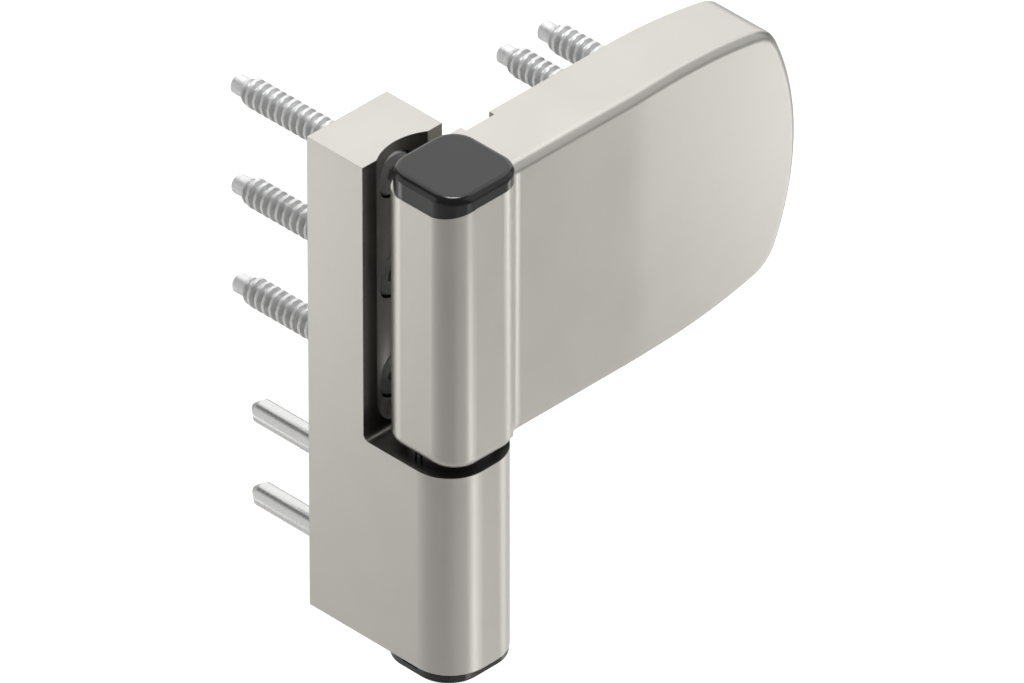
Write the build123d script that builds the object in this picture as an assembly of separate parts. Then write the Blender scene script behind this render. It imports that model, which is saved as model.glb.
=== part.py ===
from build123d import *
from math import atan2, cos, pi, radians, sin, sqrt, tan
import os

# Surface-mounted door hinge, millimetres.
# Origin: middle of the frame part's back face, level with the top of its knuckle.
# X runs along the wall towards the leaf, Y into the wall, Z up along the hinge axis.

# Frame part
FRAME_WIDTH = 23.0
FRAME_TOP = 68.0
FRAME_BOTTOM = -50.0
PLATE_FRONT = -16.1
KNUCKLE_FRONT = -41.35
KNUCKLE_CORNER = 9.55
INNER_FILLET = 1.5
AXIS_Y = -30.0
COVE_RADIUS = 13.4
COVE_DEEPEST = -13.9
COVE_END = 7.5

# Long screws, the same kind in the frame part and in the leaf
SCREW_RADIUS = 3.25
SCREW_CORE = 2.18
SCREW_PITCH = 2.12
SCREW_TIP = 3.0
SCREW_HEAD_RADIUS = 5.2
SCREW_HEAD_HEIGHT = 3.65
SCREW_SOCKET_FLATS = 4.0
SCREW_SOCKET_DEPTH = 2.6
SCREW_HOLE = 3.45
SCREW_SEAT = 5.5
RIDGE_BASE = 1.5
RIDGE_CREST = 0.4
FIRST_RIDGE = 0.45
RIDGE_GROWTH = 0.3
FRAME_SCREW_HEIGHTS = {"bottom": 10.0, "middle": 35.0, "top": 60.0}
FRAME_SCREW_END = 32.35
FRAME_THREAD_START = 1.0

# Locating pins, pressed into the back of the knuckle
PIN_RADIUS = 2.75
PIN_START = -12.0
PIN_ROOT_RADIUS = 3.25
PIN_CONE_START = 25.5
PIN_END = 27.7
PIN_END_RADIUS = 1.0
LOCATING_PIN_HEIGHTS = {"lower": -40.6, "upper": -19.45}

# Gaps between pieces that are pressed together, and between pieces that turn or rest
PRESS_GAP = 0.02
FIT_GAP = 0.05

# Bearing inside the two knuckles
HINGE_PIN_RADIUS = 5.0
HINGE_PIN_BOTTOM = -28.0
HINGE_PIN_TOP = 50.0
BUSH_RADIUS = 7.0
BUSH_BORE = 5.05
LOWER_BUSH_BOTTOM = -31.9
UPPER_BUSH_TOP = 54.0
FLANGE_RADIUS = 9.3
FLANGE_SPLIT = 1.05
FLANGE_GAP = 0.1
FLANGE_SLOT = 0.6
SLOT_OFFSET = 0.8
PAD_RADIUS = 4.9
PAD_BOTTOM = -31.0
JACK_RADIUS = 5.95
JACK_HOLE = 6.05
JACK_TOP = -37.5
JACK_BOTTOM = -45.0
JACK_NOSE = 4.6
JACK_SOCKET_FLATS = 6.0
JACK_SOCKET_DEPTH = 5.0
JACK_HOLE_TOP = -32.0
CAP_SEAT = -47.0
CAP_SEAT_RADIUS = 8.0

# Barrel and leaf, one casting
BARREL_WIDTH = 21.0
BARREL_FRONT = -41.6
BARREL_BACK = -19.4
BARREL_CORNER = 6.6
BARREL_BOTTOM = 2.15
BARREL_EDGE = 2.4
BARREL_LEFT_TOP = 64.7
BARREL_FRONT_TOP = 66.7
SHOULDER_START = 24.55
SHOULDER_END = 37.75
LEAF_FRONT = -37.8
LEAF_REAR = -20.0
LEAF_BOTTOM = 0.95
LEAF_TOP = 68.0
LEAF_LEFT = 6.0
LEAF_FLAT_END = 44.35
LEAF_BEND_RADIUS = 150.0
LEAF_LEAN = 2.03
LEAF_LEVEL_END = 55.6
LEAF_CORNER = 10.0
LEAF_CORNER_CENTRE = (80.8, 21.0)
LEAF_END = 95.5
LEAF_EDGE = 2.2
NECK_RADIUS = 5.0
WALL = 3.0
HOLLOW_LEFT = 19.0
NOTCH_START = 13.0
NOTCH_END = 21.2
NOTCH_DEPTH = 1.5

# Caps
CAP_LEFT = -10.45
CAP_RIGHT = 10.7
CAP_FRONT = -41.55
CAP_BACK = -20.3
CAP_CORNER = 6.2
CAP_TOP = 70.3
CAP_EDGE = 1.6
CAP_GAP = 0.12
CAP_WALL = 1.5
CAP_SPIGOT = 5.0
CAP_SPIGOT_RADIUS = 6.9
BOTTOM_CAP_SIDE = 11.2
BOTTOM_CAP_FRONT = -40.5
BOTTOM_CAP_BACK = -18.5
BOTTOM_CAP_CORNER = 8.0
BOTTOM_CAP_DEPTH = 2.3
BOTTOM_CAP_NOTCH = (-31.4, -27.1)
BOTTOM_CAP_NOTCH_HEIGHT = 0.7
BOTTOM_CAP_PLUG = 2.7

# Base plate under the leaf, and its sideways adjustment
PLATE_LEFT = 24.0
PLATE_RIGHT = 79.0
PLATE_HALF_HEIGHT = 27.5
PLATE_BACK = -19.8
PLATE_THICKNESS = 3.0
PLATE_CORNER = 6.0
SASH_SCREW_X = {"inner": 57.3, "outer": 69.3}
SASH_SCREW_SPREAD = 14.925
SASH_SCREW_END = 12.35
SASH_THREAD_START = -4.0
ADJUST_Y = -27.6
BLOCK_LEFT = 26.0
BLOCK_RIGHT = 38.0
BLOCK_FRONT = -32.5
BLOCK_HALF_HEIGHT = 13.0
BLOCK_SCREW_SPREAD = 9.75
BLOCK_SCREW_RADIUS = 1.95
BLOCK_SCREW_HEAD = 3.9
BLOCK_SCREW_END = -30.0
BLOCK_HOLE_END = -30.5
BLOCK_SOCKET_FLATS = 2.5
BLOCK_SOCKET_DEPTH = 1.6
SIDE_SCREW_RADIUS = 2.98
SIDE_SCREW_HOLE = 3.06
SIDE_SCREW_START = 13.0
SIDE_SCREW_SEAT = 51.0
SIDE_HEAD_RADIUS = 4.5
SIDE_HEAD_HEIGHT = 4.0
SIDE_SOCKET_FLATS = 4.0
RIB_START = 47.0
RIB_REAR = -23.2
RIB_HALF_HEIGHT = 10.0
CLIP_THICKNESS = 0.9
CLIP_INNER = 2.35
CLIP_OUTER = 4.5
CLIP_MOUTH = 3.2
CLIP_PLAY = 0.03
KEY_HOLE_RADIUS = 2.6
CLAMP_X = {"inner": 27.5, "outer": 36.5}
CLAMP_RADIUS = 2.95
CLAMP_HOLE = 3.05
CLAMP_BOTTOM = 2.4
CLAMP_BACKED_OFF = 0.2
CLAMP_Y = -28.0
BOSS_LEFT = 22.0
BOSS_RIGHT = 42.0
BOSS_REAR = -23.6
BOSS_TOP = 14.0
SMALL_SOCKET_FLATS = 3.0
SMALL_SOCKET_DEPTH = 3.0
SET_SCREW_Z = 30.0
SET_SCREW_RADIUS = 2.95
SET_SCREW_END = -20.4
SET_SCREW_PASSAGE = 3.1
SHORT_CHAMFER = 0.5

FRAME_SIDE = FRAME_WIDTH / 2
LEAF_MIDDLE = (LEAF_TOP + LEAF_BOTTOM) / 2
LEAF_HALF = (LEAF_TOP - LEAF_BOTTOM) / 2
PLATE_FACE = PLATE_BACK - PLATE_THICKNESS
BEYOND = 1.0
FAR = 60.0


def block(x0, x1, y0, y1, z0, z1):
    centre = Pos((x0 + x1) / 2, (y0 + y1) / 2, (z0 + z1) / 2)
    return centre * Box(x1 - x0, y1 - y0, z1 - z0)


def rod_x(radius, start, end, y, z):
    return Pos((start + end) / 2, y, z) * Rot(0, 90, 0) * Cylinder(radius, end - start)


def rod_y(radius, start, end, x, z):
    return Pos(x, (start + end) / 2, z) * Rot(90, 0, 0) * Cylinder(radius, end - start)


def rod_z(radius, start, end, x=0.0, y=AXIS_Y):
    return Pos(x, y, (start + end) / 2) * Cylinder(radius, end - start)


def hexagon(flats, depth):
    # A hexagonal socket standing on the XY plane
    return extrude(RegularPolygon(flats / 2, 6, major_radius=False), amount=depth)


def rounded_prism(x0, x1, y0, y1, corner, z0, z1):
    outline = RectangleRounded(x1 - x0, y1 - y0, corner)
    return Pos((x0 + x1) / 2, (y0 + y1) / 2, z0) * extrude(outline, amount=z1 - z0)


def turned(points):
    # Points are (radius, height); the outline closes along the axis
    outline = Polyline(*[(radius, 0, height) for radius, height in points], close=True)
    return revolve(make_face(outline), Axis.Z)


def long_screw(x, z, head_front, end, thread_start):
    # Socket screw with a coarse thread and a smooth lead-in tip, turned along its axis
    length = end - head_front
    first = thread_start - head_front
    last = length - SCREW_TIP
    points = [(0, 0), (SCREW_HEAD_RADIUS - SHORT_CHAMFER, 0)]
    points += [(SCREW_HEAD_RADIUS, SHORT_CHAMFER), (SCREW_HEAD_RADIUS, SCREW_HEAD_HEIGHT)]
    points += [(SCREW_RADIUS, SCREW_HEAD_HEIGHT), (SCREW_RADIUS, first - SCREW_PITCH)]
    points += [(SCREW_CORE, first - RIDGE_BASE)]
    turns = int((last - first) / SCREW_PITCH)
    for turn in range(turns + 1):
        middle = first + turn * SCREW_PITCH
        from_tip = turns - turn
        growth = min(1.0, FIRST_RIDGE + RIDGE_GROWTH * from_tip)
        crest = SCREW_CORE + (SCREW_RADIUS - SCREW_CORE) * growth
        points += [(SCREW_CORE, middle - RIDGE_BASE / 2), (crest, middle - RIDGE_CREST / 2)]
        points += [(crest, middle + RIDGE_CREST / 2), (SCREW_CORE, middle + RIDGE_BASE / 2)]
    points += [(SCREW_CORE, length - SHORT_CHAMFER), (SCREW_CORE - SHORT_CHAMFER, length), (0, length)]
    screw = turned(points) - hexagon(SCREW_SOCKET_FLATS, SCREW_SOCKET_DEPTH)
    return Pos(x, head_front, z) * Rot(-90, 0, 0) * screw


def frame_bracket():
    plate = block(-FRAME_SIDE, FRAME_SIDE, PLATE_FRONT, 0, FRAME_BOTTOM, FRAME_TOP)
    knuckle = block(-FRAME_SIDE, FRAME_SIDE, KNUCKLE_FRONT, 0, FRAME_BOTTOM, 0)
    knuckle = fillet(knuckle.edges().filter_by(Axis.Z).group_by(Axis.Y)[0], KNUCKLE_CORNER)
    body = plate + knuckle
    inner_corner = body.edges().filter_by(Axis.X).sort_by_distance((0, PLATE_FRONT, 0))[0]
    body = fillet(inner_corner, INNER_FILLET)
    body -= cove()
    for height in FRAME_SCREW_HEIGHTS.values():
        seat = COVE_DEEPEST + SCREW_HEAD_HEIGHT
        body -= rod_y(SCREW_SEAT, PLATE_FRONT - BEYOND, seat, 0, height)
        body -= rod_y(SCREW_HOLE, seat - BEYOND, BEYOND, 0, height)
    for height in LOCATING_PIN_HEIGHTS.values():
        body -= rod_y(PIN_ROOT_RADIUS + PRESS_GAP, PIN_START, BEYOND, 0, height)
    body -= rod_z(BUSH_RADIUS + PRESS_GAP, JACK_HOLE_TOP, BEYOND)
    body -= rod_z(JACK_HOLE, CAP_SEAT - BEYOND, JACK_HOLE_TOP + BEYOND)
    body -= rod_z(CAP_SEAT_RADIUS + FIT_GAP, FRAME_BOTTOM - BEYOND, CAP_SEAT)
    return body


def cove():
    # Shallow upright channel in the plate's front, open at the top, with a round lower end
    centre_y = COVE_DEEPEST - COVE_RADIUS
    channel = rod_z(COVE_RADIUS, COVE_END, FRAME_TOP + BEYOND, 0, centre_y)
    end = Pos(0, centre_y, COVE_END) * Sphere(COVE_RADIUS)
    end &= block(-FAR, FAR, -FAR, 0, INNER_FILLET, COVE_END + COVE_RADIUS)
    return channel + end


def locating_pin(z):
    # Smooth dowel with a pointed end, on a slightly thicker root that holds it in the casting
    points = [(0, PIN_START), (PIN_ROOT_RADIUS, PIN_START), (PIN_ROOT_RADIUS, 0)]
    points += [(PIN_RADIUS, 0), (PIN_RADIUS, PIN_CONE_START)]
    points += [(PIN_END_RADIUS, PIN_END), (0, PIN_END)]
    return Pos(0, 0, z) * Rot(-90, 0, 0) * turned(points)


def flange(bottom, top):
    # Round collar with two fine slots beside its locating lug on the left
    collar = rod_z(FLANGE_RADIUS, bottom, top)
    for side in (-1, 1):
        low_y = AXIS_Y + side * SLOT_OFFSET - FLANGE_SLOT / 2
        deepest = -FLANGE_RADIUS + FLANGE_SLOT
        collar -= block(-FLANGE_RADIUS - BEYOND, deepest, low_y, low_y + FLANGE_SLOT, bottom, top)
    return collar


def lower_bush():
    bush = rod_z(BUSH_RADIUS, LOWER_BUSH_BOTTOM, 0) + flange(0, FLANGE_SPLIT - FLANGE_GAP / 2)
    return bush - rod_z(BUSH_BORE, LOWER_BUSH_BOTTOM - BEYOND, FLANGE_SPLIT + BEYOND)


def upper_bush():
    bush = rod_z(BUSH_RADIUS, BARREL_BOTTOM, UPPER_BUSH_TOP)
    bush += flange(FLANGE_SPLIT + FLANGE_GAP / 2, BARREL_BOTTOM)
    bush -= rod_z(BUSH_BORE, 0, UPPER_BUSH_TOP + BEYOND)
    return bush - rod_y(SET_SCREW_PASSAGE, AXIS_Y, AXIS_Y + FLANGE_RADIUS, 0, SET_SCREW_Z)


def hinge_pin():
    pin = rod_z(HINGE_PIN_RADIUS, HINGE_PIN_BOTTOM, HINGE_PIN_TOP)
    return chamfer(pin.edges(), SHORT_CHAMFER)


def thrust_pad():
    pad = rod_z(PAD_RADIUS, PAD_BOTTOM, HINGE_PIN_BOTTOM - FIT_GAP)
    return chamfer(pad.edges(), SHORT_CHAMFER / 2)


def height_screw():
    screw = rod_z(JACK_RADIUS, JACK_BOTTOM, JACK_TOP)
    screw = chamfer(screw.edges(), SHORT_CHAMFER)
    screw += rod_z(JACK_NOSE, JACK_TOP, PAD_BOTTOM - FIT_GAP)
    return screw - Pos(0, AXIS_Y, JACK_BOTTOM) * hexagon(JACK_SOCKET_FLATS, JACK_SOCKET_DEPTH)


def bottom_cap():
    top = FRAME_BOTTOM
    bottom = top - BOTTOM_CAP_DEPTH
    side = BOTTOM_CAP_SIDE
    lid = rounded_prism(-side, side, BOTTOM_CAP_FRONT, BOTTOM_CAP_BACK, BOTTOM_CAP_CORNER, bottom, top)
    lid = fillet(lid.edges().group_by(Axis.Z)[0], SHORT_CHAMFER)
    notch_y0, notch_y1 = BOTTOM_CAP_NOTCH
    notch_z = top - BOTTOM_CAP_NOTCH_HEIGHT
    lid -= block(-side - BEYOND, -side + BEYOND, notch_y0, notch_y1, notch_z, top + BEYOND)
    plug = rod_z(CAP_SEAT_RADIUS, top, top + BOTTOM_CAP_PLUG) - rod_z(CAP_SEAT_RADIUS - CAP_WALL, top, FAR)
    return lid + plug


def above_shoulder(lift=0.0):
    # Everything over the barrel's top face, which climbs from the left side round to the front
    low = BARREL_LEFT_TOP + lift
    high = BARREL_FRONT_TOP + lift
    start = SHOULDER_START / sqrt(2)
    end = SHOULDER_END / sqrt(2)
    top = FAR * 2
    points = [(-FAR, top), (-FAR, low), (start, low), (end, high), (top, high), (top, top)]
    diagonal = Plane(origin=(0, 0, 0), x_dir=(1, -1, 0), z_dir=(-1, -1, 0))
    face = diagonal * make_face(Polyline(*points, close=True))
    return extrude(face, amount=FAR, both=True)


def neck_arc():
    # Hollow curve that runs from the barrel's front corner into the leaf's flat front
    corner_x = BARREL_WIDTH / 2 - BARREL_CORNER
    corner_y = BARREL_FRONT + BARREL_CORNER
    centre_y = LEAF_FRONT - NECK_RADIUS
    reach = BARREL_CORNER + NECK_RADIUS
    centre_x = corner_x + sqrt(reach**2 - (corner_y - centre_y)**2)
    share = BARREL_CORNER / reach
    start = (corner_x + (centre_x - corner_x) * share, corner_y + (centre_y - corner_y) * share)
    half_angle = atan2(centre_x - start[0], start[1] - centre_y) / 2
    middle = (centre_x - NECK_RADIUS * sin(half_angle), centre_y + NECK_RADIUS * cos(half_angle))
    return start, middle, (centre_x, LEAF_FRONT)


def leaf_plan(inset, left):
    # Seen from above: flat front, a soft bend, then a flat that leans back to the free end
    front = LEAF_FRONT + inset
    radius = LEAF_BEND_RADIUS - inset
    lean = radians(LEAF_LEAN)
    bend_y = front + radius * (1 - cos(lean))
    bend_x = LEAF_FLAT_END + radius * sin(lean)
    half_way = (LEAF_FLAT_END + radius * sin(lean / 2), front + radius * (1 - cos(lean / 2)))
    end_x = LEAF_END + BEYOND
    end_y = bend_y + (end_x - bend_x) * tan(lean)
    rear = LEAF_REAR if inset == 0 else LEAF_REAR + BEYOND
    if inset == 0:
        start, middle, end = neck_arc()
        first = (left, start[1])
        lines = [Line(first, start), ThreePointArc(start, middle, end), Line(end, (LEAF_FLAT_END, front))]
    else:
        first = (left, front)
        lines = [Line(first, (LEAF_FLAT_END, front))]
    lines += [ThreePointArc((LEAF_FLAT_END, front), half_way, (bend_x, bend_y))]
    lines += [Line((bend_x, bend_y), (end_x, end_y)), Line((end_x, end_y), (end_x, rear))]
    lines += [Line((end_x, rear), (left, rear)), Line((left, rear), first)]
    return make_face(Curve() + lines)


def leaf_arcs():
    # Radius of the long edges' arc and centre of the free end's arc, both tangent to the corner
    corner_x, corner_z = LEAF_CORNER_CENTRE
    run = corner_x - LEAF_LEVEL_END
    drop = LEAF_HALF - corner_z - LEAF_CORNER
    long_radius = LEAF_CORNER + (run**2 + drop**2) / (2 * drop)
    bulge = LEAF_END - LEAF_CORNER - corner_x
    return long_radius, corner_x - (corner_z**2 - bulge**2) / (2 * bulge)


def on_arc(centre, radius, turn):
    return (centre[0] + radius * cos(turn), centre[1] + radius * sin(turn))


def leaf_outline(inset, left):
    # Seen from the front: level edges that bend softly into round corners and a bulging free end
    half = LEAF_HALF - inset
    long_radius, side_x = leaf_arcs()
    corner_x, corner_z = LEAF_CORNER_CENTRE
    long_centre = (LEAF_LEVEL_END, LEAF_HALF - long_radius)
    long_turn = atan2(corner_z - long_centre[1], corner_x - long_centre[0])
    side_turn = atan2(corner_z, corner_x - side_x)
    upper = [(left, half), (LEAF_LEVEL_END, half)]
    upper += [on_arc(long_centre, long_radius - inset, (pi / 2 + long_turn) / 2)]
    upper += [on_arc(long_centre, long_radius - inset, long_turn)]
    upper += [on_arc(LEAF_CORNER_CENTRE, LEAF_CORNER - inset, (long_turn + side_turn) / 2)]
    upper += [on_arc((side_x, 0), LEAF_END - side_x - inset, side_turn)]
    lower = [(x, -z) for x, z in upper]
    lines = [Line(upper[0], lower[0]), ThreePointArc(upper[5], (LEAF_END - inset, 0), lower[5])]
    for points in (upper, lower):
        lines += [Line(points[0], points[1]), ThreePointArc(*points[1:4]), ThreePointArc(*points[3:6])]
    return make_face(Curve() + lines)


def leaf_blank(inset, left, bottom, top):
    plan = Pos(0, 0, bottom) * extrude(leaf_plan(inset, left), amount=top - bottom)
    front_view = Plane(origin=(0, 0, LEAF_MIDDLE), x_dir=(1, 0, 0), z_dir=(0, -1, 0))
    outline = extrude(front_view * leaf_outline(inset, left), amount=FAR)
    return plan & outline


def front_edges(solid):
    found = []
    for edge in solid.edges():
        middle = edge @ 0.5
        straight_up = edge in solid.edges().filter_by(Axis.Z)
        if middle.Y < LEAF_FRONT + WALL * 2 and middle.X > NOTCH_START - WALL * 2 and not straight_up:
            found.append(edge)
    return [edge for edge in found if edge not in solid.edges().filter_by(Axis.Y)]


def leaf_body():
    body = leaf_blank(0, LEAF_LEFT, LEAF_BOTTOM, LEAF_TOP)
    body = fillet(front_edges(body), LEAF_EDGE)
    body -= leaf_blank(WALL, HOLLOW_LEFT, LEAF_BOTTOM + WALL, LEAF_TOP - WALL)
    body -= block(NOTCH_START, NOTCH_END, LEAF_REAR - NOTCH_DEPTH, LEAF_REAR + BEYOND, 0, FAR * 2)
    under_barrel = barrel_prism(-FAR, BARREL_BOTTOM)
    right = CAP_RIGHT + CAP_GAP
    front = CAP_FRONT - CAP_GAP
    back = CAP_BACK + CAP_GAP
    nest = rounded_prism(CAP_LEFT, right, front, back, CAP_CORNER, FAR, FAR * 2)
    return body - under_barrel - (nest & above_shoulder())


def barrel_prism(bottom, top):
    side = BARREL_WIDTH / 2
    return rounded_prism(-side, side, BARREL_FRONT, BARREL_BACK, BARREL_CORNER, bottom, top)


def leaf_casting():
    barrel = barrel_prism(BARREL_BOTTOM, BARREL_FRONT_TOP)
    barrel = fillet(barrel.edges().group_by(Axis.Z)[0], BARREL_EDGE)
    barrel -= above_shoulder()
    body = barrel + leaf_body()
    front_inside = LEAF_FRONT + WALL - BEYOND
    boss_bottom = LEAF_BOTTOM + WALL - BEYOND
    body += block(BOSS_LEFT, BOSS_RIGHT, front_inside, BOSS_REAR, boss_bottom, BOSS_TOP)
    rib_low = LEAF_MIDDLE - RIB_HALF_HEIGHT
    rib_high = LEAF_MIDDLE + RIB_HALF_HEIGHT
    body += block(RIB_START, SIDE_SCREW_SEAT, front_inside, RIB_REAR, rib_low, rib_high)
    body -= rod_z(BUSH_RADIUS + PRESS_GAP, 0, FAR * 2)
    hole_start = SIDE_SCREW_START - BEYOND
    body -= rod_x(SIDE_SCREW_HOLE, hole_start, SIDE_SCREW_SEAT + BEYOND, ADJUST_Y, LEAF_MIDDLE)
    body -= rod_x(KEY_HOLE_RADIUS, LEAF_END - WALL * 3, LEAF_END + BEYOND, ADJUST_Y, LEAF_MIDDLE)
    body -= rod_y(SET_SCREW_RADIUS + FIT_GAP, AXIS_Y, BARREL_BACK + BEYOND, 0, SET_SCREW_Z)
    for x in CLAMP_X.values():
        body -= rod_z(CLAMP_HOLE, 0, BOSS_TOP + BEYOND, x, CLAMP_Y)
    return body


def top_cap():
    low = BARREL_LEFT_TOP - BEYOND
    cap = rounded_prism(CAP_LEFT, CAP_RIGHT, CAP_FRONT, CAP_BACK, CAP_CORNER, low, CAP_TOP)
    cap = fillet(cap.edges().group_by(Axis.Z)[-1], CAP_EDGE)
    cap &= above_shoulder(FIT_GAP)
    spigot_end = BARREL_LEFT_TOP - CAP_SPIGOT
    spigot = rod_z(CAP_SPIGOT_RADIUS, spigot_end, BARREL_FRONT_TOP + BEYOND)
    spigot_hole = rod_z(CAP_SPIGOT_RADIUS - CAP_WALL, spigot_end - BEYOND, BARREL_FRONT_TOP)
    return cap + spigot - spigot_hole


def grub_screw(radius, length, flats, depth):
    # Headless screw standing on the XY plane, socket in its lower end
    screw = Cylinder(radius, length, align=(Align.CENTER, Align.CENTER, Align.MIN))
    return chamfer(screw.edges(), SHORT_CHAMFER) - hexagon(flats, depth)


def pin_set_screw():
    pin_face = AXIS_Y + HINGE_PIN_RADIUS + FIT_GAP
    length = SET_SCREW_END - pin_face
    screw = grub_screw(SET_SCREW_RADIUS, length, SMALL_SOCKET_FLATS, SMALL_SOCKET_DEPTH)
    return Pos(0, SET_SCREW_END, SET_SCREW_Z) * Rot(90, 0, 0) * screw


def clamp_screw(x):
    length = LEAF_MIDDLE - BLOCK_HALF_HEIGHT - CLAMP_BACKED_OFF - CLAMP_BOTTOM
    screw = grub_screw(CLAMP_RADIUS, length, SMALL_SOCKET_FLATS, SMALL_SOCKET_DEPTH)
    return Pos(x, CLAMP_Y, CLAMP_BOTTOM) * screw


def sash_screw_places():
    places = {}
    for column, x in SASH_SCREW_X.items():
        places["lower_" + column] = (x, LEAF_MIDDLE - SASH_SCREW_SPREAD)
        places["upper_" + column] = (x, LEAF_MIDDLE + SASH_SCREW_SPREAD)
    return places


def block_screw_places():
    x = (BLOCK_LEFT + BLOCK_RIGHT) / 2
    low = LEAF_MIDDLE - BLOCK_SCREW_SPREAD
    high = LEAF_MIDDLE + BLOCK_SCREW_SPREAD
    return {"lower": (x, low), "upper": (x, high)}


def base_plate():
    low = LEAF_MIDDLE - PLATE_HALF_HEIGHT
    high = LEAF_MIDDLE + PLATE_HALF_HEIGHT
    plate = block(PLATE_LEFT, PLATE_RIGHT, PLATE_FACE, PLATE_BACK, low, high)
    plate = fillet(plate.edges().filter_by(Axis.Y), PLATE_CORNER)
    for x, z in sash_screw_places().values():
        plate -= rod_y(SCREW_HOLE, PLATE_FACE - BEYOND, PLATE_BACK + BEYOND, x, z)
    for x, z in block_screw_places().values():
        plate -= countersunk(BLOCK_SCREW_RADIUS + FIT_GAP, BLOCK_SCREW_HEAD + FIT_GAP, x, z, PLATE_BACK)
    return plate


def countersunk(shank, head, x, z, back):
    # Countersunk screw shape that enters from the back face
    height = head - shank
    cone = Cone(head, shank, height, align=(Align.CENTER, Align.CENTER, Align.MIN))
    shank_length = back - BLOCK_SCREW_END
    body = cone + Cylinder(shank, shank_length, align=(Align.CENTER, Align.CENTER, Align.MIN))
    return Pos(x, back, z) * Rot(90, 0, 0) * body


def adjusting_block():
    low = LEAF_MIDDLE - BLOCK_HALF_HEIGHT
    high = LEAF_MIDDLE + BLOCK_HALF_HEIGHT
    body = block(BLOCK_LEFT, BLOCK_RIGHT, BLOCK_FRONT, PLATE_FACE, low, high)
    body = chamfer(body.edges().filter_by(Axis.Y), SHORT_CHAMFER)
    body -= rod_x(SIDE_SCREW_HOLE, BLOCK_LEFT - BEYOND, BLOCK_RIGHT + BEYOND, ADJUST_Y, LEAF_MIDDLE)
    for x, z in block_screw_places().values():
        body -= rod_y(BLOCK_SCREW_RADIUS + FIT_GAP, BLOCK_HOLE_END, PLATE_FACE + BEYOND, x, z)
    return body


def block_screw(x, z):
    head_face = PLATE_BACK - FIT_GAP
    screw = countersunk(BLOCK_SCREW_RADIUS, BLOCK_SCREW_HEAD - FIT_GAP, x, z, head_face)
    socket = Pos(x, head_face, z) * Rot(90, 0, 0) * hexagon(BLOCK_SOCKET_FLATS, BLOCK_SOCKET_DEPTH)
    return screw - socket


def side_screw():
    head_end = SIDE_SCREW_SEAT + FIT_GAP + SIDE_HEAD_HEIGHT
    screw = rod_x(SIDE_SCREW_RADIUS, SIDE_SCREW_START, SIDE_SCREW_SEAT + BEYOND, ADJUST_Y, LEAF_MIDDLE)
    screw += rod_x(SIDE_HEAD_RADIUS, SIDE_SCREW_SEAT + FIT_GAP, head_end, ADJUST_Y, LEAF_MIDDLE)
    groove_end = RIB_START - FIT_GAP
    groove_start = groove_end - CLIP_THICKNESS - 2 * CLIP_PLAY
    groove = rod_x(SIDE_SCREW_RADIUS + BEYOND, groove_start, groove_end, ADJUST_Y, LEAF_MIDDLE)
    groove -= rod_x(CLIP_INNER - FIT_GAP, groove_start - BEYOND, groove_end + BEYOND, ADJUST_Y, LEAF_MIDDLE)
    socket = hexagon(SIDE_SOCKET_FLATS, SMALL_SOCKET_DEPTH)
    return screw - groove - Pos(head_end, ADJUST_Y, LEAF_MIDDLE) * Rot(0, -90, 0) * socket


def side_screw_clip():
    end = RIB_START - FIT_GAP - CLIP_PLAY
    start = end - CLIP_THICKNESS
    ring = rod_x(CLIP_OUTER, start, end, ADJUST_Y, LEAF_MIDDLE)
    ring -= rod_x(CLIP_INNER, start - BEYOND, end + BEYOND, ADJUST_Y, LEAF_MIDDLE)
    half = CLIP_MOUTH / 2
    low = LEAF_MIDDLE - CLIP_OUTER - BEYOND
    return ring - block(start - BEYOND, end + BEYOND, ADJUST_Y - half, ADJUST_Y + half, low, LEAF_MIDDLE)


def write(name, shape):
    export_step(shape, f"parts/{name}.step")


os.makedirs("parts", exist_ok=True)

write("frame_bracket", frame_bracket())
for place, height in FRAME_SCREW_HEIGHTS.items():
    write(f"frame_screw_{place}", long_screw(0, height, COVE_DEEPEST, FRAME_SCREW_END, FRAME_THREAD_START))
for place, height in LOCATING_PIN_HEIGHTS.items():
    write(f"locating_pin_{place}", locating_pin(height))
write("lower_bush", lower_bush())
write("thrust_pad", thrust_pad())
write("height_screw", height_screw())
write("bottom_cap", bottom_cap())

write("hinge_pin", hinge_pin())
write("upper_bush", upper_bush())
write("leaf_casting", leaf_casting())
write("pin_set_screw", pin_set_screw())
write("top_cap", top_cap())
for place, x in CLAMP_X.items():
    write(f"clamp_screw_{place}", clamp_screw(x))
write("side_screw", side_screw())
write("side_screw_clip", side_screw_clip())

write("base_plate", base_plate())
write("adjusting_block", adjusting_block())
for place, (x, z) in block_screw_places().items():
    write(f"block_screw_{place}", block_screw(x, z))
for place, (x, z) in sash_screw_places().items():
    head_front = PLATE_FACE - FIT_GAP - SCREW_HEAD_HEIGHT
    write(f"sash_screw_{place}", long_screw(x, z, head_front, SASH_SCREW_END, SASH_THREAD_START))
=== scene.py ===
import bpy
from math import radians
from mathutils import Matrix, Vector


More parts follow.
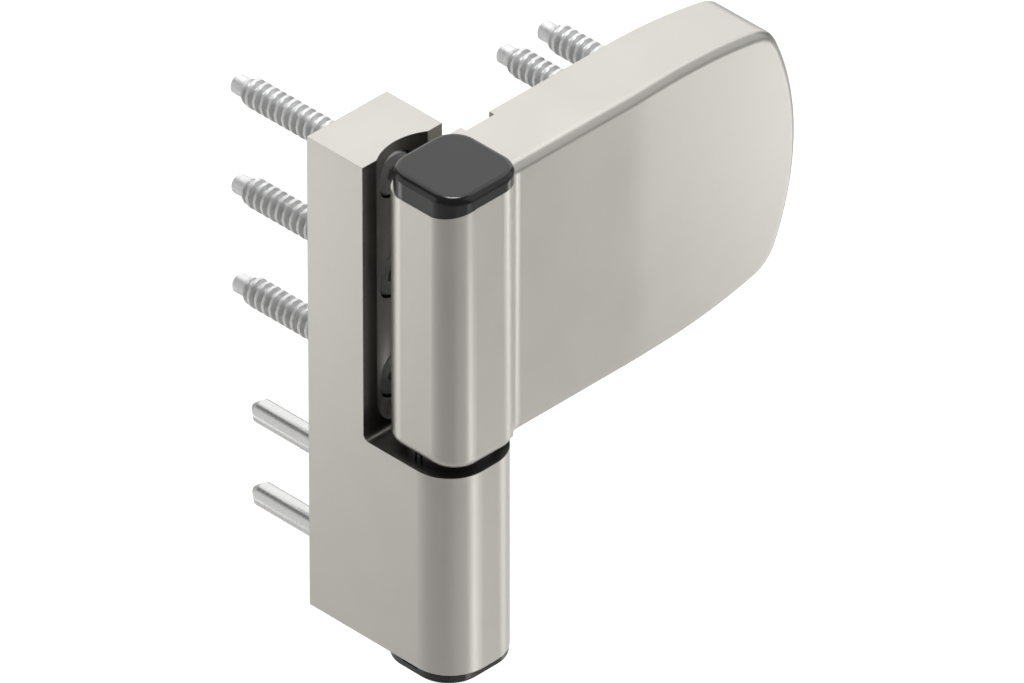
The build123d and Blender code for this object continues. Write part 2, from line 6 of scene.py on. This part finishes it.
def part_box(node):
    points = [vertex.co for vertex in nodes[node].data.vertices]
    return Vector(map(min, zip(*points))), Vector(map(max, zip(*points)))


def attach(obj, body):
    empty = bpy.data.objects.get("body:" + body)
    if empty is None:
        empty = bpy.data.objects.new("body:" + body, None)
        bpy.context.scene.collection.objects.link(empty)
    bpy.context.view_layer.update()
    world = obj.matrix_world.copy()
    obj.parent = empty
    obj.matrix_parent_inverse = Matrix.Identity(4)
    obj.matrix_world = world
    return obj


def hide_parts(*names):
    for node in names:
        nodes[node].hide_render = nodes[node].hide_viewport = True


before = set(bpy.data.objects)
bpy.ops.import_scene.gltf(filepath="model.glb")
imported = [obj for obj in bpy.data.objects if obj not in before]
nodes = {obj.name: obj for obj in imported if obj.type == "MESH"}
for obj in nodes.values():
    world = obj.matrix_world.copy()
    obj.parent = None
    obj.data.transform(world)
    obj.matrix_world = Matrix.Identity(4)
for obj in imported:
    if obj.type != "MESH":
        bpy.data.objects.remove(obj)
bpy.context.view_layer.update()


# The frame part: plate and lower knuckle in one aluminium casting, tumbled and clear coated.
# It is screwed to the door frame through the channel in its front.
GRAIN_SIZE = 0.000417
CLOUD_SIZE = 0.0143
SHADE_DISTANCE = 0.010
EDGE_RADIUS = 0.0002


def linear(hex_colour):
    # sRGB hex to linear colour with full alpha
    values = [int(hex_colour[i:i + 2], 16) / 255 for i in (1, 3, 5)]
    return [v / 12.92 if v <= 0.04045 else ((v + 0.055) / 1.055) ** 2.4 for v in values] + [1.0]


def add(tree, kind, inputs=None, **settings):
    # Adds one node; an input takes a plain value, another node's output, or a node's first output
    node = tree.nodes.new(kind)
    for name, value in settings.items():
        setattr(node, name, value)
    for socket, value in (inputs or {}).items():
        if isinstance(value, bpy.types.Node):
            value = value.outputs[0]
        if isinstance(value, bpy.types.NodeSocket):
            tree.links.new(value, node.inputs[socket])
        else:
            node.inputs[socket].default_value = value
    return node


def new_material(name):
    material = bpy.data.materials.new(name)
    material.use_nodes = True
    material.node_tree.nodes.clear()
    return material, material.node_tree


def cover(names, material):
    for name in names:
        for slot in nodes[name].material_slots:
            slot.material = material


# Tumbled cast aluminium: even satin grey with a warm tint, a very fine grain, softly broken edges.
# The grain is 0.15 mm on the real surface and is drawn at about 0.4 mm so that it shows.
# The clear coat lies a little unevenly, in faint clouds about 14 mm across.
cast_metal, tree = new_material("tumbled_cast_aluminium")
place = add(tree, "ShaderNodeTexCoord").outputs["Object"]
grain = add(tree, "ShaderNodeTexNoise", {
    "Vector": place, "Scale": 1 / GRAIN_SIZE, "Detail": 3.0, "Roughness": 0.65})
clouds = add(tree, "ShaderNodeTexNoise", {
    "Vector": place, "Scale": 1 / CLOUD_SIZE, "Detail": 2.0, "Roughness": 0.5})
speckle = add(tree, "ShaderNodeMath", {0: grain, 1: 0.35}, operation="MULTIPLY")
drift = add(tree, "ShaderNodeMath", {0: clouds, 1: 0.65, 2: speckle}, operation="MULTIPLY_ADD")
# In every Mix node input 0 says how much of colour 7 goes over colour 6
tint = add(tree, "ShaderNodeMix", {0: drift, 6: linear("#BAB7B2"), 7: linear("#C8C5C0")},
           data_type="RGBA").outputs[2]
# Painted shade: the metal's colour is darkened towards #55524E in gaps, corners and recesses, where
# ambient occlusion finds other surfaces close by.
# In every Map Range node 1 and 2 are the ends of what comes in, 3 and 4 of what goes out
occlusion = add(tree, "ShaderNodeAmbientOcclusion", {"Distance": SHADE_DISTANCE}, samples=8)
shade_amount = add(tree, "ShaderNodeMapRange", {
    0: occlusion.outputs["AO"], 1: 0.10, 2: 0.80, 3: 0.70, 4: 0.0})
tint = add(tree, "ShaderNodeMix", {0: shade_amount, 6: tint, 7: linear("#55524E")},
           data_type="RGBA").outputs[2]
# Edges are broken by the tumbling. Along them the colour is lightened a little towards #DCD9D4, a
# painted highlight
rounded = add(tree, "ShaderNodeBevel", {"Radius": EDGE_RADIUS}, samples=4)
sharp = add(tree, "ShaderNodeNewGeometry")
edge = add(tree, "ShaderNodeVectorMath", {0: rounded, 1: sharp.outputs["Normal"]},
           operation="DOT_PRODUCT")
edge_highlight = add(tree, "ShaderNodeMapRange", {
    0: edge.outputs["Value"], 1: 0.995, 2: 0.90, 3: 0.0, 4: 0.2})
colour = add(tree, "ShaderNodeMix", {0: edge_highlight, 6: tint, 7: linear("#DCD9D4")},
             data_type="RGBA").outputs[2]
gloss = add(tree, "ShaderNodeMapRange", {0: drift, 1: 0.3, 2: 0.7, 3: 0.34, 4: 0.38})
bump = add(tree, "ShaderNodeBump", {
    "Height": grain, "Normal": rounded, "Strength": 0.10, "Distance": 0.00004})
surface = add(tree, "ShaderNodeBsdfPrincipled", {
    "Metallic": 1.0, "Base Color": colour, "Roughness": gloss, "Normal": bump})
add(tree, "ShaderNodeOutputMaterial", {"Surface": surface})
cover(["frame_bracket"], cast_metal)


# The two locating pins: ground steel dowels pressed into the back of the knuckle.
# Grinding leaves fine rings round them and a brighter face than the casting's.
# The hinge pin and its pad are ground too. The rings are drawn 0.5 mm apart so that they show.
RING_SPACING = 0.0005

pin_steel, tree = new_material("ground_dowel_steel")
place = add(tree, "ShaderNodeTexCoord").outputs["Object"]
stretch = add(tree, "ShaderNodeMapping", {"Vector": place, "Scale": (0.05, 1.0, 0.05)})
rings = add(tree, "ShaderNodeTexNoise", {
    "Vector": stretch, "Scale": 1 / RING_SPACING, "Detail": 2.0})
tint = add(tree, "ShaderNodeMix", {0: rings, 6: linear("#C6C6C5"), 7: linear("#D8D8D7")},
           data_type="RGBA").outputs[2]
gloss = add(tree, "ShaderNodeMapRange", {0: rings, 1: 0.3, 2: 0.7, 3: 0.26, 4: 0.30})
bump = add(tree, "ShaderNodeBump", {"Height": rings, "Strength": 0.015, "Distance": 0.00001})
surface = add(tree, "ShaderNodeBsdfPrincipled", {
    "Metallic": 1.0, "Base Color": tint, "Roughness": gloss, "Normal": bump})
add(tree, "ShaderNodeOutputMaterial", {"Surface": surface})
cover(["locating_pin_lower", "locating_pin_upper", "hinge_pin", "thrust_pad"], pin_steel)


# The base plate and its adjusting block under the leaf: pressed and milled steel, zinc plated.
# Rolling leaves faint lengthwise lines on them, drawn 0.7 mm apart so that they show.
LINE_SPACING = 0.000667

plate_steel, tree = new_material("rolled_plate_steel")
place = add(tree, "ShaderNodeTexCoord").outputs["Object"]
stretch = add(tree, "ShaderNodeMapping", {"Vector": place, "Scale": (0.06, 1.0, 1.0)})
lines = add(tree, "ShaderNodeTexNoise", {
    "Vector": stretch, "Scale": 1 / LINE_SPACING, "Detail": 3.0})
tint = add(tree, "ShaderNodeMix", {0: lines, 6: linear("#A3A4A5"), 7: linear("#C2C3C4")},
           data_type="RGBA").outputs[2]
gloss = add(tree, "ShaderNodeMapRange", {0: lines, 1: 0.3, 2: 0.7, 3: 0.34, 4: 0.46})
bump = add(tree, "ShaderNodeBump", {"Height": lines, "Strength": 0.12, "Distance": 0.00003})
surface = add(tree, "ShaderNodeBsdfPrincipled", {
    "Metallic": 1.0, "Base Color": tint, "Roughness": gloss, "Normal": bump})
add(tree, "ShaderNodeOutputMaterial", {"Surface": surface})
cover(["base_plate", "adjusting_block"], plate_steel)


# The long screws in the frame part and under the leaf: steel, cold headed, thread rolled and zinc
# plated. Each has a round head with a hexagonal socket, a short plain shank, a coarse rolled thread
# and a smooth pilot tip.
SHANK_RADIUS = 0.00325
CORE_RADIUS = 0.00218
HEAD_RADIUS = 0.0052
HEAD_HEIGHT = 0.00365
EDGE_CHAMFER = 0.0005
THREAD_PITCH = 0.00212
TIP_LENGTH = 0.0030
RIDGE_FOOT = 0.40
RIDGE_CREST = 0.17
RUN_OUT_TURNS = 1.0
SOCKET_FLATS = 0.004
SOCKET_DEPTH = 0.0026
FRAME_THREAD_START = 0.001
SASH_THREAD_START = -0.004
FLATS_TO_RADIUS = 0.57735
CRISP_FOLD = radians(34)
WELD_DISTANCE = 0.000004
CRYSTAL_SIZE = 0.00111
PLATING_HAZE = 0.00286

# Zinc plating is a soft even grey with faint crystals about 1 mm across and a wider dull haze
zinc_steel, tree = new_material("zinc_plated_steel")
place = add(tree, "ShaderNodeTexCoord").outputs["Object"]
crystals = add(tree, "ShaderNodeTexVoronoi", {"Vector": place, "Scale": 1 / CRYSTAL_SIZE})
haze = add(tree, "ShaderNodeTexNoise", {
    "Vector": place, "Scale": 1 / PLATING_HAZE, "Detail": 3.0})
mottle = add(tree, "ShaderNodeMath", {0: crystals.outputs["Color"], 1: 0.3, 2: haze},
             operation="MULTIPLY_ADD")
tint = add(tree, "ShaderNodeMix", {0: mottle, 6: linear("#BDBEBE"), 7: linear("#EDEDED")},
           data_type="RGBA").outputs[2]
gloss = add(tree, "ShaderNodeMapRange", {0: mottle, 1: 0.2, 2: 1.0, 3: 0.42, 4: 0.56})
bump = add(tree, "ShaderNodeBump", {"Height": haze, "Strength": 0.30, "Distance": 0.00005})
surface = add(tree, "ShaderNodeBsdfPrincipled", {
    "Metallic": 0.75, "Base Color": tint, "Roughness": gloss, "Normal": bump})
add(tree, "ShaderNodeOutputMaterial", {"Surface": surface})

# One screw, made standing on its head along Z, then set on each point of the object it is given.
# Its length and the start of its thread are set again for each body's screws
screws = bpy.data.node_groups.new("rolled_thread_screws", "GeometryNodeTree")
screws.interface.new_socket("Points", in_out="INPUT", socket_type="NodeSocketGeometry")
for name, value in (("Length", 0.0457), ("Thread Start", 0.0149), ("Head Radius", HEAD_RADIUS),
                    ("Head Height", HEAD_HEIGHT), ("Shank Radius", SHANK_RADIUS),
                    ("Core Radius", CORE_RADIUS), ("Pitch", THREAD_PITCH),
                    ("Tip Length", TIP_LENGTH), ("Socket Flats", SOCKET_FLATS),
                    ("Socket Depth", SOCKET_DEPTH), ("Chamfer", EDGE_CHAMFER)):
    socket = screws.interface.new_socket(name, in_out="INPUT", socket_type="NodeSocketFloat")
    socket.default_value = value
for name, value in (("Sides", 40), ("Rows Per Turn", 12), ("Seed", 3)):
    socket = screws.interface.new_socket(name, in_out="INPUT", socket_type="NodeSocketInt")
    socket.default_value = value
screws.interface.new_socket("Finish", in_out="INPUT", socket_type="NodeSocketMaterial")
screws.interface.new_socket("Screws", in_out="OUTPUT", socket_type="NodeSocketGeometry")

given = add(screws, "NodeGroupInput").outputs

# Thread and tip: a sheet rolled into a tube, whose radius follows the thread's helix
stem = add(screws, "ShaderNodeMath", {0: given["Length"], 1: given["Head Height"]},
           operation="SUBTRACT")
turns = add(screws, "ShaderNodeMath", {0: stem, 1: given["Pitch"]}, operation="DIVIDE")
rows = add(screws, "ShaderNodeMath", {0: turns, 1: given["Rows Per Turn"]},
           operation="MULTIPLY")
columns = add(screws, "ShaderNodeMath", {0: given["Sides"], 1: 1.0}, operation="ADD")
sheet = add(screws, "GeometryNodeMeshGrid", {
    "Size X": 1.0, "Size Y": 1.0, "Vertices X": columns, "Vertices Y": rows})
spot = add(screws, "ShaderNodeSeparateXYZ", {0: add(screws, "GeometryNodeInputPosition")}).outputs
around = add(screws, "ShaderNodeMath", {0: spot["X"], 1: 0.5}, operation="ADD")
share = add(screws, "ShaderNodeMath", {0: spot["Y"], 1: 0.5}, operation="ADD")
height = add(screws, "ShaderNodeMath", {0: share, 1: stem, 2: given["Head Height"]},
             operation="MULTIPLY_ADD")
past = add(screws, "ShaderNodeMath", {0: height, 1: given["Thread Start"]},
           operation="SUBTRACT")
along = add(screws, "ShaderNodeMath", {0: past, 1: given["Pitch"]}, operation="DIVIDE")
lead = add(screws, "ShaderNodeMath", {0: along, 1: around}, operation="SUBTRACT")
phase = add(screws, "ShaderNodeMath", {0: lead}, operation="FRACT")
from_crest = add(screws, "ShaderNodeMath", {0: phase, 1: 0.5}, operation="SUBTRACT")
off_crest = add(screws, "ShaderNodeMath", {0: from_crest}, operation="ABSOLUTE")
ridge = add(screws, "ShaderNodeMapRange", {
    0: off_crest, 1: RIDGE_FOOT, 2: RIDGE_CREST, 3: 0.0, 4: 1.0}, interpolation_type="SMOOTHERSTEP")
thread_end = add(screws, "ShaderNodeMath", {0: given["Length"], 1: given["Tip Length"]},
                 operation="SUBTRACT")
run_out = add(screws, "ShaderNodeMath", {0: given["Pitch"], 1: -RUN_OUT_TURNS, 2: thread_end},
              operation="MULTIPLY_ADD")
growth = add(screws, "ShaderNodeMapRange", {0: height, 1: run_out, 2: thread_end, 3: 1.0, 4: 0.0})
begin = add(screws, "ShaderNodeMapRange", {0: along, 1: -0.9, 2: -0.4, 3: 0.0, 4: 1.0})
depth = add(screws, "ShaderNodeMath", {0: given["Shank Radius"], 1: given["Core Radius"]},
            operation="SUBTRACT")
grown = add(screws, "ShaderNodeMath", {0: ridge, 1: growth}, operation="MULTIPLY")
swell = add(screws, "ShaderNodeMath", {0: grown, 1: begin}, operation="MULTIPLY")
shank = add(screws, "ShaderNodeMath", {0: 1.0, 1: begin}, operation="SUBTRACT")
raised = add(screws, "ShaderNodeMath", {0: swell, 1: shank}, operation="MAXIMUM")
outward = add(screws, "ShaderNodeMath", {0: raised, 1: depth, 2: given["Core Radius"]},
              operation="MULTIPLY_ADD")
chamfer_from = add(screws, "ShaderNodeMath", {0: given["Length"], 1: given["Chamfer"]},
                   operation="SUBTRACT")
beyond = add(screws, "ShaderNodeMath", {0: height, 1: chamfer_from}, operation="SUBTRACT")
cut = add(screws, "ShaderNodeMath", {0: beyond, 1: 0.0}, operation="MAXIMUM")
radius = add(screws, "ShaderNodeMath", {0: outward, 1: cut}, operation="SUBTRACT")
angle = add(screws, "ShaderNodeMath", {0: around, 1: radians(360)}, operation="MULTIPLY")
across = add(screws, "ShaderNodeCombineXYZ", {
    0: add(screws, "ShaderNodeMath", {0: angle}, operation="COSINE"),
    1: add(screws, "ShaderNodeMath", {0: angle}, operation="SINE")})
spread = add(screws, "ShaderNodeVectorMath", {0: across, "Scale": radius}, operation="SCALE")
lifted = add(screws, "ShaderNodeCombineXYZ", {2: height})
rolled = add(screws, "ShaderNodeVectorMath", {0: spread, 1: lifted}, operation="ADD")
tube = add(screws, "GeometryNodeSetPosition", {"Geometry": sheet, "Position": rolled})
tip_radius = add(screws, "ShaderNodeMath", {0: given["Core Radius"], 1: given["Chamfer"]},
                 operation="SUBTRACT")
tip = add(screws, "GeometryNodeMeshCircle", {
    "Radius": tip_radius, "Vertices": given["Sides"]}, fill_type="NGON")
tip_place = add(screws, "ShaderNodeCombineXYZ", {2: given["Length"]})
tip_set = add(screws, "GeometryNodeTransform", {"Geometry": tip, "Translation": tip_place})
foot = add(screws, "GeometryNodeMeshCircle", {
    "Radius": given["Shank Radius"], "Vertices": given["Sides"]}, fill_type="NGON")
foot_place = add(screws, "ShaderNodeCombineXYZ", {2: given["Head Height"]})
foot_set = add(screws, "GeometryNodeTransform", {
    "Geometry": foot, "Translation": foot_place, "Rotation": (radians(180), 0, 0)})
threaded = add(screws, "GeometryNodeJoinGeometry")
for part in (tube, tip_set, foot_set):
    screws.links.new(part.outputs[0], threaded.inputs[0])
sealed = add(screws, "GeometryNodeMergeByDistance", {
    "Geometry": threaded, "Distance": WELD_DISTANCE})

# Head: a disc with a broken front edge, and the hexagonal socket cut into it
drum_height = add(screws, "ShaderNodeMath", {0: given["Head Height"], 1: given["Chamfer"]},
                  operation="SUBTRACT")
drum = add(screws, "GeometryNodeMeshCylinder", {
    "Vertices": given["Sides"], "Radius": given["Head Radius"], "Depth": drum_height})
drum_middle = add(screws, "ShaderNodeMath", {0: drum_height, 1: 0.5, 2: given["Chamfer"]},
                  operation="MULTIPLY_ADD")
drum_place = add(screws, "ShaderNodeCombineXYZ", {2: drum_middle})
drum_set = add(screws, "GeometryNodeTransform", {"Geometry": drum, "Translation": drum_place})
face_radius = add(screws, "ShaderNodeMath", {0: given["Head Radius"], 1: given["Chamfer"]},
                  operation="SUBTRACT")
front = add(screws, "GeometryNodeMeshCone", {
    "Vertices": given["Sides"], "Radius Top": given["Head Radius"], "Radius Bottom": face_radius,
    "Depth": given["Chamfer"]})
head = add(screws, "GeometryNodeMeshBoolean", operation="UNION", solver="EXACT")
for part in (drum_set, front):
    screws.links.new(part.outputs[0], head.inputs[1])
key_radius = add(screws, "ShaderNodeMath", {0: given["Socket Flats"], 1: FLATS_TO_RADIUS},
                 operation="MULTIPLY")
key_height = add(screws, "ShaderNodeMath", {0: given["Socket Depth"], 1: 2.0},
                 operation="MULTIPLY")
key = add(screws, "GeometryNodeMeshCylinder", {
    "Vertices": 6, "Radius": key_radius, "Depth": key_height})
drilled = add(screws, "GeometryNodeMeshBoolean", {0: head, 1: key},
              operation="DIFFERENCE", solver="EXACT")

whole = add(screws, "GeometryNodeJoinGeometry")
for part in (sealed, drilled):
    screws.links.new(part.outputs[0], whole.inputs[0])
smooth = add(screws, "GeometryNodeSetShadeSmooth", {"Geometry": whole, "Shade Smooth": True})
fold = add(screws, "GeometryNodeInputMeshEdgeAngle")
crisp = add(screws, "FunctionNodeCompare", {0: fold, 1: CRISP_FOLD}, operation="GREATER_THAN")
shaded = add(screws, "GeometryNodeSetShadeSmooth", {
    "Geometry": smooth, "Selection": crisp, "Shade Smooth": False}, domain="EDGE")
laid = add(screws, "GeometryNodeInstanceOnPoints", {
    "Points": given["Points"], "Instance": shaded, "Rotation": (radians(-90), 0, 0)})
# Each screw was tightened by a different amount, so its socket and thread stand turned
turned = add(screws, "FunctionNodeRandomValue", {2: 0.0, 3: radians(60), "Seed": given["Seed"]})
spin = add(screws, "ShaderNodeCombineXYZ", {2: turned.outputs[1]})
driven = add(screws, "GeometryNodeRotateInstances", {
    "Instances": laid, "Rotation": spin, "Local Space": True})
solid = add(screws, "GeometryNodeRealizeInstances", {"Geometry": driven})
plated = add(screws, "GeometryNodeSetMaterial", {"Geometry": solid, "Material": given["Finish"]})
add(screws, "NodeGroupOutput", {"Screws": plated})


def fit_screws(name, body, replaced, thread_start):
    # One mesh of screws for a body, each standing where the screw it replaces stands
    low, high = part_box(replaced[0])
    points = []
    for node in replaced:
        node_low, node_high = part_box(node)
        points.append(((node_low.x + node_high.x) / 2, node_low.y, (node_low.z + node_high.z) / 2))
    seeds = bpy.data.meshes.new(name + "_points")
    seeds.from_pydata(points, [], [])
    holder = bpy.data.objects.new(name + "_points", seeds)
    bpy.context.scene.collection.objects.link(holder)
    modifier = holder.modifiers.new("screws", "NODES")
    modifier.node_group = screws
    sizes = {"Length": high.y - low.y, "Thread Start": thread_start - low.y, "Finish": zinc_steel}
    for item in screws.interface.items_tree:
        if item.name in sizes:
            modifier[item.identifier] = sizes[item.name]
    bpy.context.view_layer.update()
    made = holder.evaluated_get(bpy.context.evaluated_depsgraph_get())
    piece = bpy.data.objects.new(name, bpy.data.meshes.new_from_object(made))
    bpy.context.scene.collection.objects.link(piece)
    holder.modifiers.remove(modifier)
    bpy.data.objects.remove(holder)
    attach(piece, body)
    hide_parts(*replaced)


fit_screws("frame_screws", "frame",
           ["frame_screw_bottom", "frame_screw_middle", "frame_screw_top"], FRAME_THREAD_START)
fit_screws("sash_screws", "sash_plate",
           ["sash_screw_lower_inner", "sash_screw_lower_outer",
            "sash_screw_upper_inner", "sash_screw_upper_outer"], SASH_THREAD_START)


# The two flanged bushes between the knuckles: black acetal, turned smooth and slightly waxy.
# Their flanges carry the barrel and are all that shows of them. Turning leaves a faint haze in
# patches of 2 mm.
ACETAL_HAZE = 0.002

bush_plastic, tree = new_material("black_acetal")
place = add(tree, "ShaderNodeTexCoord").outputs["Object"]
haze = add(tree, "ShaderNodeTexNoise", {"Vector": place, "Scale": 1 / ACETAL_HAZE, "Detail": 2.0})
tint = add(tree, "ShaderNodeMix", {0: haze, 6: linear("#161617"), 7: linear("#202021")},
           data_type="RGBA").outputs[2]
gloss = add(tree, "ShaderNodeMapRange", {0: haze, 1: 0.3, 2: 0.7, 3: 0.34, 4: 0.44})
bump = add(tree, "ShaderNodeBump", {"Height": haze, "Strength": 0.08, "Distance": 0.00003})
surface = add(tree, "ShaderNodeBsdfPrincipled", {
    "IOR": 1.48, "Base Color": tint, "Roughness": gloss, "Normal": bump})
add(tree, "ShaderNodeOutputMaterial", {"Surface": surface})
cover(["lower_bush", "upper_bush"], bush_plastic)


# The small screws, the side screw's clip among them: blackened steel, a thin oiled oxide skin.
# One lifts the pad under the pin; the others hold the pin, the leaf and the adjusting block.
# The oxide is cloudy in patches of 1.7 mm.
OXIDE_HAZE = 0.00167

dark_steel, tree = new_material("blackened_screw_steel")
place = add(tree, "ShaderNodeTexCoord").outputs["Object"]
haze = add(tree, "ShaderNodeTexNoise", {"Vector": place, "Scale": 1 / OXIDE_HAZE, "Detail": 3.0})
tint = add(tree, "ShaderNodeMix", {0: haze, 6: linear("#2A2A2B"), 7: linear("#444445")},
           data_type="RGBA").outputs[2]
gloss = add(tree, "ShaderNodeMapRange", {0: haze, 1: 0.3, 2: 0.7, 3: 0.35, 4: 0.5})
bump = add(tree, "ShaderNodeBump", {"Height": haze, "Strength": 0.1, "Distance": 0.00003})
surface = add(tree, "ShaderNodeBsdfPrincipled", {
    "Metallic": 1.0, "Base Color": tint, "Roughness": gloss, "Normal": bump})
add(tree, "ShaderNodeOutputMaterial", {"Surface": surface})
cover(["height_screw", "pin_set_screw", "clamp_screw_inner", "clamp_screw_outer", "side_screw",
       "side_screw_clip", "block_screw_lower", "block_screw_upper"], dark_steel)


# The leaf: barrel and hollow leaf in one casting of the same tumbled aluminium.
# It is lowered over the hinge pin and hides the plate that is screwed to the door.
cover(["leaf_casting"], cast_metal)


# The two caps, over the barrel and under the knuckle: black nylon, moulded, with a fine spark
# eroded skin that is drawn at 0.45 mm so that it shows. They press in by hand and are slightly
# rounded along their edges.
SKIN_SIZE = 0.000455
FLOW_SIZE = 0.0111

cap_plastic, tree = new_material("moulded_black_nylon")
place = add(tree, "ShaderNodeTexCoord").outputs["Object"]
skin = add(tree, "ShaderNodeTexNoise", {
    "Vector": place, "Scale": 1 / SKIN_SIZE, "Detail": 2.0, "Roughness": 0.6})
# The melt cooled unevenly as it filled the mould, in soft patches about 11 mm across
flow = add(tree, "ShaderNodeTexNoise", {"Vector": place, "Scale": 1 / FLOW_SIZE, "Detail": 2.0})
tint = add(tree, "ShaderNodeMix", {0: flow, 6: linear("#161617"), 7: linear("#1D1D1E")},
           data_type="RGBA").outputs[2]
gloss = add(tree, "ShaderNodeMapRange", {0: flow, 1: 0.3, 2: 0.7, 3: 0.15, 4: 0.21})
bump = add(tree, "ShaderNodeBump", {"Height": skin, "Strength": 0.06, "Distance": 0.00002})
surface = add(tree, "ShaderNodeBsdfPrincipled", {
    "IOR": 1.49, "Base Color": tint, "Roughness": gloss, "Normal": bump})
add(tree, "ShaderNodeOutputMaterial", {"Surface": surface})
cover(["top_cap", "bottom_cap"], cap_plastic)


# The studio: a pale matt floor well below the part, large soft lamps, and a long-lens camera.
# The part hangs free over the floor, as it would on its door frame.
FLOOR_HEIGHT = -0.40
FLOOR_HALF = 8.0
POOL_MIDDLE = (0.43, 0.39, FLOOR_HEIGHT)
POOL_INNER = 0.20
POOL_OUTER = 0.42
POOL_STRENGTH = 0.38
ROLLER_MARK = 0.025

floor_mesh = bpy.data.meshes.new("floor")
corners = [(FLOOR_HALF * x, FLOOR_HALF * y, FLOOR_HEIGHT)
           for x, y in ((-1, -1), (1, -1), (1, 1), (-1, 1))]
floor_mesh.from_pydata(corners, [], [(0, 1, 2, 3)])
floor = bpy.data.objects.new("floor", floor_mesh)
bpy.context.scene.collection.objects.link(floor)
floor_paint, tree = new_material("matt_white_floor")
place = add(tree, "ShaderNodeTexCoord").outputs["Object"]
roller = add(tree, "ShaderNodeTexNoise", {"Vector": place, "Scale": 1 / ROLLER_MARK, "Detail": 2.0})
tint = add(tree, "ShaderNodeMix", {0: roller, 6: linear("#F2F1EF"), 7: linear("#F6F5F3")},
           data_type="RGBA").outputs[2]
paint = add(tree, "ShaderNodeBsdfDiffuse", {"Color": tint})
# The background's own light: a wide pool behind the part that the camera and the metal see as white
rays = add(tree, "ShaderNodeLightPath").outputs
seen = add(tree, "ShaderNodeMath", {0: rays["Is Camera Ray"], 1: rays["Is Glossy Ray"]},
           operation="ADD")
passed = add(tree, "ShaderNodeMath", {0: seen, 1: rays["Is Transmission Ray"]},
             operation="ADD", use_clamp=True)
away = add(tree, "ShaderNodeVectorMath", {0: place, 1: POOL_MIDDLE}, operation="DISTANCE")
pool = add(tree, "ShaderNodeMapRange", {
    0: away.outputs["Value"], 1: POOL_INNER, 2: POOL_OUTER, 3: POOL_STRENGTH, 4: 0.0},
    interpolation_type="SMOOTHSTEP")
strength = add(tree, "ShaderNodeMath", {0: passed, 1: pool}, operation="MULTIPLY")
white = add(tree, "ShaderNodeEmission", {"Strength": strength})
both = add(tree, "ShaderNodeAddShader", {0: paint, 1: white})
add(tree, "ShaderNodeOutputMaterial", {"Surface": both})
floor.data.materials.append(floor_paint)


def softbox(name, azimuth, height, distance, width, power):
    # A square soft lamp that faces the part; azimuth and height are degrees, from X and from level
    light = bpy.data.lights.new(name, "AREA")
    light.shape = "SQUARE"
    light.size = width
    light.energy = power
    lamp = bpy.data.objects.new(name, light)
    turn = Matrix.Rotation(radians(azimuth), 3, "Z") @ Matrix.Rotation(radians(-height), 3, "Y")
    way = turn @ Vector((1, 0, 0))
    lamp.location = way * distance
    lamp.rotation_euler = way.to_track_quat("Z", "Y").to_euler()
    bpy.context.scene.collection.objects.link(lamp)
    lamp.visible_camera = False


# The large lamps light the part; the small low ones are there to be mirrored in its upright faces
softbox("back_top", azimuth=45, height=35, distance=1.2, width=1.9, power=13.0)
softbox("back_side", azimuth=135, height=8, distance=1.0, width=0.90, power=1.8)
softbox("front_top", azimuth=318, height=30, distance=1.2, width=1.6, power=4.5)
softbox("back_low", azimuth=135, height=-35, distance=0.60, width=0.30, power=0.06)
softbox("back_near", azimuth=127, height=-27, distance=0.40, width=0.10, power=0.050)
softbox("left_low", azimuth=250, height=-35, distance=0.60, width=0.30, power=0.06)
softbox("front_low", azimuth=285, height=-35, distance=0.60, width=0.14, power=0.138)
softbox("middle_low", azimuth=301, height=-35, distance=0.60, width=0.10, power=0.030)
softbox("right_low", azimuth=336, height=-35, distance=0.60, width=0.14, power=0.075)
softbox("right_near", azimuth=329, height=-20, distance=0.42, width=0.10, power=0.058)
softbox("overhead", azimuth=45, height=80, distance=0.80, width=0.22, power=2.20)

world = bpy.data.worlds.new("studio")
world.use_nodes = True
world.node_tree.nodes["Background"].inputs["Color"].default_value = linear("#E9E9E9")
world.node_tree.nodes["Background"].inputs["Strength"].default_value = 0.24
bpy.context.scene.world = world
bpy.context.scene.view_settings.view_transform = "Standard"

# The photograph is a parallel view from the left, front and top at equal angles.
# A lens this long and this far off comes close to parallel
LENS = 800.0
SENSOR = 36.0
VIEW_WIDTH = 0.2114
AIM_RIGHT = 0.03382
AIM_UP = 0.00892
right = Vector((1, -1, 0)).normalized()
up = Vector((1, 1, 2)).normalized()
back = Vector((-1, -1, 1)).normalized()
lens = bpy.data.cameras.new("camera")
lens.lens = LENS
lens.sensor_width = SENSOR
lens.clip_start = 1.0
lens.clip_end = 20.0
camera = bpy.data.objects.new("camera", lens)
spot = right * AIM_RIGHT + up * AIM_UP + back * (LENS / SENSOR * VIEW_WIDTH)
camera.matrix_world = Matrix.Translation(spot) @ Matrix((right, up, back)).transposed().to_4x4()
bpy.context.scene.collection.objects.link(camera)
bpy.context.scene.camera = camera
